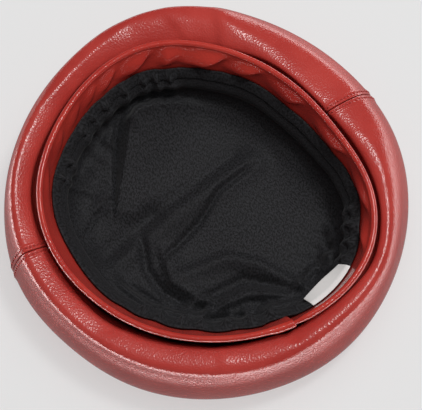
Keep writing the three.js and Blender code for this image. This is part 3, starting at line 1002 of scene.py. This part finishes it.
# Hem of the lining: a narrow folded strip, gathered where the lining is fuller than the band

hemShape = {
    "start": 303, "top": 43.6, "bottom": 37.2, "thickness": 1.3, "roundness": 0.35, "lean": 3.2,
    "puckered": 1.8, "puckerWidth": 0.6, "puckerGrow": (0.1, 0.8), "steps": (360, 8),
    "cut": (560, 7),  # its length and width on the map of the weave
}


def insideBand(deg, height, inset):
    return bandInner(deg, height) - lapShape["spread"] * swell(deg) - inset


# Gathers down the wall of the lining: where each starts and ends, half width in degrees, depth in mm
liningGathers = named(["topDeg", "footDeg", "halfWidth", "depth"], [
    [106, 103, 2.4, 1.6], [112, 111, 1.6, 2.2], [117, 119, 2, 1.6], [126, 129, 2, 2],
    [136, 140, 2.4, 1.6], [143, 145, 1.6, 1.2], [150, 153, 2.4, 1.5], [164, 168, 2, 2.2],
    [171, 171, 1.6, 1.8], [241, 246, 2.4, 2.6], [249, 250, 2, 1.6], [259, 262, 2.6, 2.8],
    [268, 266, 2, 1.8], [279, 284, 2.6, 2.4], [290, 291, 2.6, 2.4], [299, 304, 2.2, 2.2],
    [309, 308, 2.4, 1.6], [336, 331, 2.4, 2], [343, 338, 2, 2.4], [350, 345, 2, 2.4], [356, 351, 2, 2],
])


def hemFace(s, t):
    # its lower edge stands off the band, most of all where the lining is gathered into it
    deg = hemShape["start"] + 360 * s
    height = hemShape["top"] + (hemShape["bottom"] - hemShape["top"]) * t
    puckers = sum(g["depth"] * bell(turnFrom(deg, g["topDeg"]), g["halfWidth"] * hemShape["puckerWidth"])
                  for g in liningGathers)
    drawn = hemShape["puckered"] * puckers * smoothStep(t, *hemShape["puckerGrow"])
    inset = hat["gap"] + hemShape["thickness"] + hemShape["roundness"] * np.sin(np.pi * t)
    inset = inset + hemShape["lean"] * t + drawn
    return polar(deg, insideBand(deg, height, inset), height)


def makeHem():
    piece = clothGrid("liningHem", hemShape["steps"], hemFace, closed=True,
                      flat=lambda s, t: np.stack([s, t], -1) * hemShape["cut"])
    finishCloth(piece, hemShape["thickness"], 1, twill, "lining_cloth", "lining_hem")


# Lining: hangs from the hem and lies in soft folds on the crown

liningShape = {
    "top": 36.5, "slope": 2, "floor": 6.2, "lowest": 2.9, "lowestSoft": 0.8, "floorInset": 22,
    "fadeInside": -3, "fadeOutside": 13, "foldEnds": 7, "swell": 1.1,
    "gatherReach": 16, "gatherTop": (0, 5), "gatherFoot": (3, 12), "gatherLift": 0.5,
    "floorShares": (0.66, 0.33, 0), "sectionSteps": 200, "steps": (360, 120),
    "cutRadius": 130,  # of the round on the map of the weave
}
liningWall = named(["out", "up"], [[13.5, 15], [7, 6], [0, 1.2]])
# Folds on the floor of the lining: the line's places, left and right sides and height, all in mm
liningFolds = named(["line", "leftSide", "rightSide", "height", "crispSide"], [
    # the tall pleat: a sharp edge with a slope that narrows away from the wall, and the edge on its far side
    [[(-43, 92), (-48.5, 50), (-56.5, 3)], 26, (17, 1.4), (27, 4.6), 1],
    [[(-57.5, 88), (-60, 45), (-59.5, 4)], (2.4, 1.6), 14, (9, 3.8), -1],
    [[(-61.5, 5.5), (-70.3, -4.5), (-77.5, -20)], 2, 2, -3.4],
    [[(-59, 8), (-68, -2), (-75, -18)], 2, 6, 2],
    [[(-72, -37), (-50, -17), (-34, -3)], 7, 7, -4.6],  # the long hollow
    [[(-36, -3), (-9, 16), (16, 37)], 5, 5, -2.6],
    [[(-66, -42), (-44, -22), (-24, -7), (4, 15), (32, 33)], 9, 8, 4.2],
    [[(23, 26), (8, 14), (-4.6, -6), (-25, -28)], 2.6, 2, -3.8],
    [[(-40, -22), (-37.5, -37), (-27, -52), (-11.6, -61), (2, -62)], 3, 3, -4.6],
    [[(-26, -30), (-21, -46), (-6, -55)], 9, 3, 5],
    [[(-52, -50), (-35, -64), (-6, -70)], 3.2, 5, 8],
    [[(-46, -50), (-31, -59), (-20, -63)], 2.5, 2.5, -4],
    [[(-10, -61), (1, -58), (-1, -68)], 3, 2.4, 6],
    [[(-12, -40), (13, -30), (32, -34), (54, -46), (66, -54)], 4, 6, 4.5],
    [[(4, -53), (23, -43), (41, -46.5), (58, -53)], 3, 4.5, -4],
    [[(8, -62), (26, -54), (46, -54)], 6, 2.6, 6],
    [[(4, -70), (16, -68), (28, -68)], 2.6, 2.6, -9],
    [[(30, -71), (40, -64), (58, -60)], 3, 3, 8],
    [[(56, -50), (66, -38), (78, -30)], 3, 3, 5],
    [[(85, 4), (79, -12), (77, -24), (70, -38)], 2.6, 10, -4],
    [[(86, -2), (90, -14), (94, -30)], 2.4, 3, 5],
    [[(79, -16), (86, -34)], 2.4, 3, 5],
    [[(75, -28), (80, -42)], 2.4, 3, 4.5],
    [[(86, -4), (93, -18)], 1.6, 2, -4],
    [[(-92, 20), (-84, 14), (-80, 22)], 2.5, 3, 4],
    [[(-94, 12), (-86, 6)], 2.5, 2.5, -4],
    [[(-84, 40), (-76, 30)], 2.5, 3, 3],
    [[(-72, 58), (-64, 46)], 2.5, 3, 3],
    [[(-20, 70), (25, 62), (52, 40), (66, 10)], 16, 12, 1.6],
])
# Low swells of the same floor: a height, and the mm along X and along Y for each radian of the wave
liningSwells = named(["height", "alongX", "alongY"], [[0.7, 13, 19], [0.5, -23, 9]])


def liningFace(s, t):
    deg = 360 * s
    top, floor = liningShape["top"], liningShape["floor"]
    wallInset = hat["gap"] + hat["clothWall"] + hemShape["lean"]
    degrees, which = np.unique(np.round(deg, 6), return_inverse=True)
    foot = around("hemR", degrees) - liningShape["floorInset"]
    baseInset = wallInset + liningShape["slope"]
    knots = [(insideBand(degrees, top, wallInset), top),
             (insideBand(degrees, bandShape["baseHeight"], baseInset), bandShape["baseHeight"])]
    knots += [(foot + w["out"], floor + w["up"]) for w in liningWall]
    knots += [(foot * share, floor) for share in liningShape["floorShares"]]
    steps = liningShape["sectionSteps"]
    line, _ = throughPoints(stackKnots(knots, degrees), steps + 1)
    place = t * steps
    j = np.minimum(place.astype(int), steps - 1)
    x = (place - j)[:, None]
    radius, height = ((1 - x) * line[which, j] + x * line[which, j + 1]).T
    foot = around("hemR", deg) - liningShape["floorInset"]
    depth = top - height
    slant = depth / (top - floor)
    gathered = sum(
        g["depth"] * bell(turnFrom(deg, g["topDeg"]) - slant * (g["footDeg"] - g["topDeg"]), g["halfWidth"])
        for g in liningGathers)
    reach = smoothStep(depth, *liningShape["gatherTop"]) * smoothStep(
        radius, foot - liningShape["gatherReach"], foot)
    point = polar(deg, radius - gathered * reach * smoothStep(height, *liningShape["gatherFoot"]),
                  height + gathered * reach * liningShape["gatherLift"])
    lying = 1 - smoothStep(radius, foot - liningShape["fadeInside"], foot + liningShape["fadeOutside"])
    folds = sum(foldHeight(point[:, 0], point[:, 1], f["line"], f["leftSide"], f["rightSide"], f["height"],
                           liningShape["foldEnds"], f.get("crispSide", 0)) for f in liningFolds)
    swells = liningShape["swell"]
    for w in liningSwells:
        swells = swells + w["height"] * np.sin(point[:, 0] / w["alongX"] + point[:, 1] / w["alongY"])
    lowest, soft = liningShape["lowest"], liningShape["lowestSoft"]
    lifted = point[:, 2] + lying * (folds + swells)
    point[:, 2] = lowest + np.logaddexp(0, (lifted - lowest) / soft) * soft
    return point


def makeLining():
    piece = clothGrid("liningCloth", liningShape["steps"], liningFace, closed=True,
                      flat=lambda s, t: polar(360 * s, liningShape["cutRadius"] * (1 - t), 0)[:, :2])
    finishCloth(piece, hat["clothWall"], 0, twill, "lining_cloth", "lining")


makeHem()
makeLining()

# Care label: a bare folded tab, sewn in at the lining seam

labelShape = {
    "start": 313.6, "end": 333.6, "thickness": 0.5, "levelAt": 43, "steps": (24, 12), "cut": (30, 14),
    # insets from the band and heights: under the band's edge, over the hem, and the two ends of its free edge
    "tuck": (0.6, 44.6), "over": (3.1, 43.9), "endStart": (8.8, 36.5), "endEnd": (8, 36.5),
    "bow": 2.6,  # how far the middle of its free edge stands out past its ends
    "overShare": 0.25, "hangShare": 0.15, "hangPower": 1.25,
}


def labelFace(s, t):
    # from under the edge of the band, over the top of the hem and down
    deg = labelShape["start"] + (labelShape["end"] - labelShape["start"]) * s
    tuck, over, endStart, endEnd = (labelShape[name] for name in ("tuck", "over", "endStart", "endEnd"))
    first = smoothStep(t, 0, labelShape["overShare"])
    hang = labelShape["hangShare"]
    rest = np.clip((t - hang) / (1 - hang), 0, 1) ** labelShape["hangPower"]
    inset, height = (
        tuck[k] + (over[k] - tuck[k]) * first + (endStart[k] + (endEnd[k] - endStart[k]) * s - over[k]) * rest
        for k in (0, 1))
    bowed = labelShape["bow"] * np.sin(np.pi * s) * rest
    return polar(deg, insideBand(deg, labelShape["levelAt"], inset + bowed), height)


def makeLabel():
    piece = clothGrid("careLabel", labelShape["steps"], labelFace,
                      flat=lambda s, t: np.stack([s, t], -1) * labelShape["cut"])
    finishCloth(piece, labelShape["thickness"], 1, satin, "label_satin", "care_label")


makeLabel()
